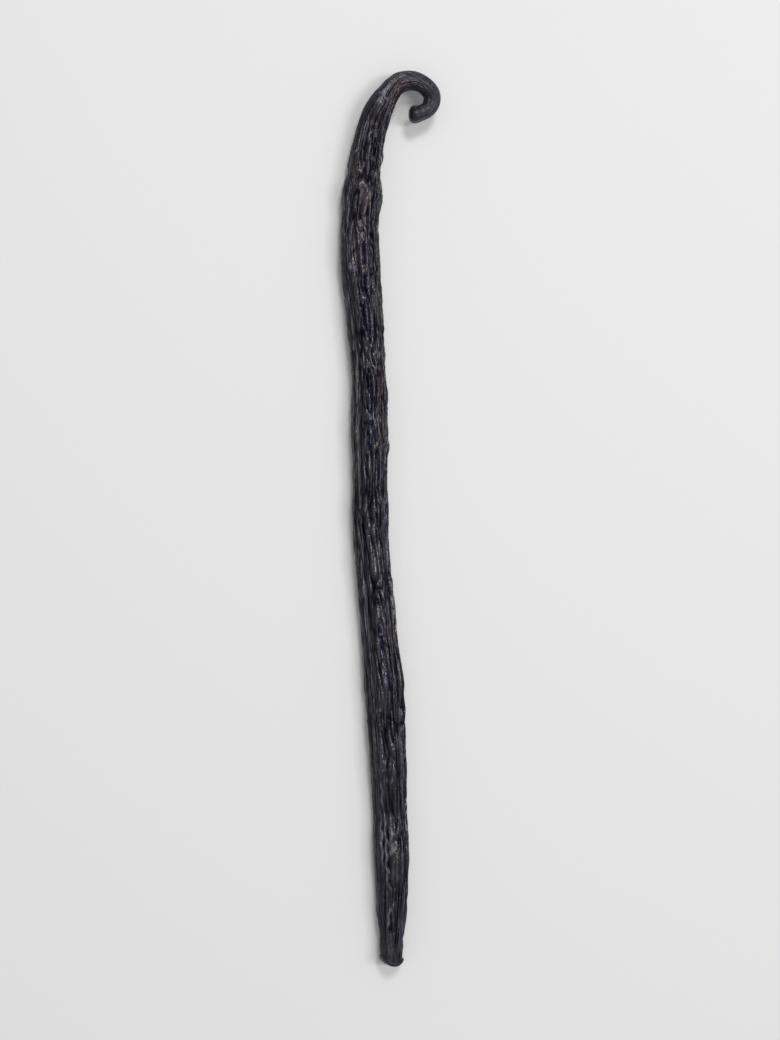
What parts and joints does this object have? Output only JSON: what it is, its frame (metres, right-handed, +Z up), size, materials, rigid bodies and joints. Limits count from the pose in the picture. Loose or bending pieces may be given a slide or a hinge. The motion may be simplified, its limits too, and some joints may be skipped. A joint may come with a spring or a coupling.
{
  "type": "vanilla pod",
  "caption": "Slender dark cured vanilla pod, one wrinkled piece lying flat, with a flared blossom tip at one end and a narrow stem curled into a hook at the other.",
  "frame": {"origin": "middle of the pod's bounding box in plan, on the surface that the pod lies on", "axes": "+Y along the pod from its blossom tip towards its stem, +X to the side that the stem curls to, +Z up"},
  "size_m": [0.0184, 0.1656, 0.0059],
  "materials": {
    "cured_skin": "oily, finely wrinkled near-black brown cured skin, satin with small highlights on its ridges"
  },
  "bodies": {
    "root": {"pod": "cured_skin"}
  },
  "joints": []
}
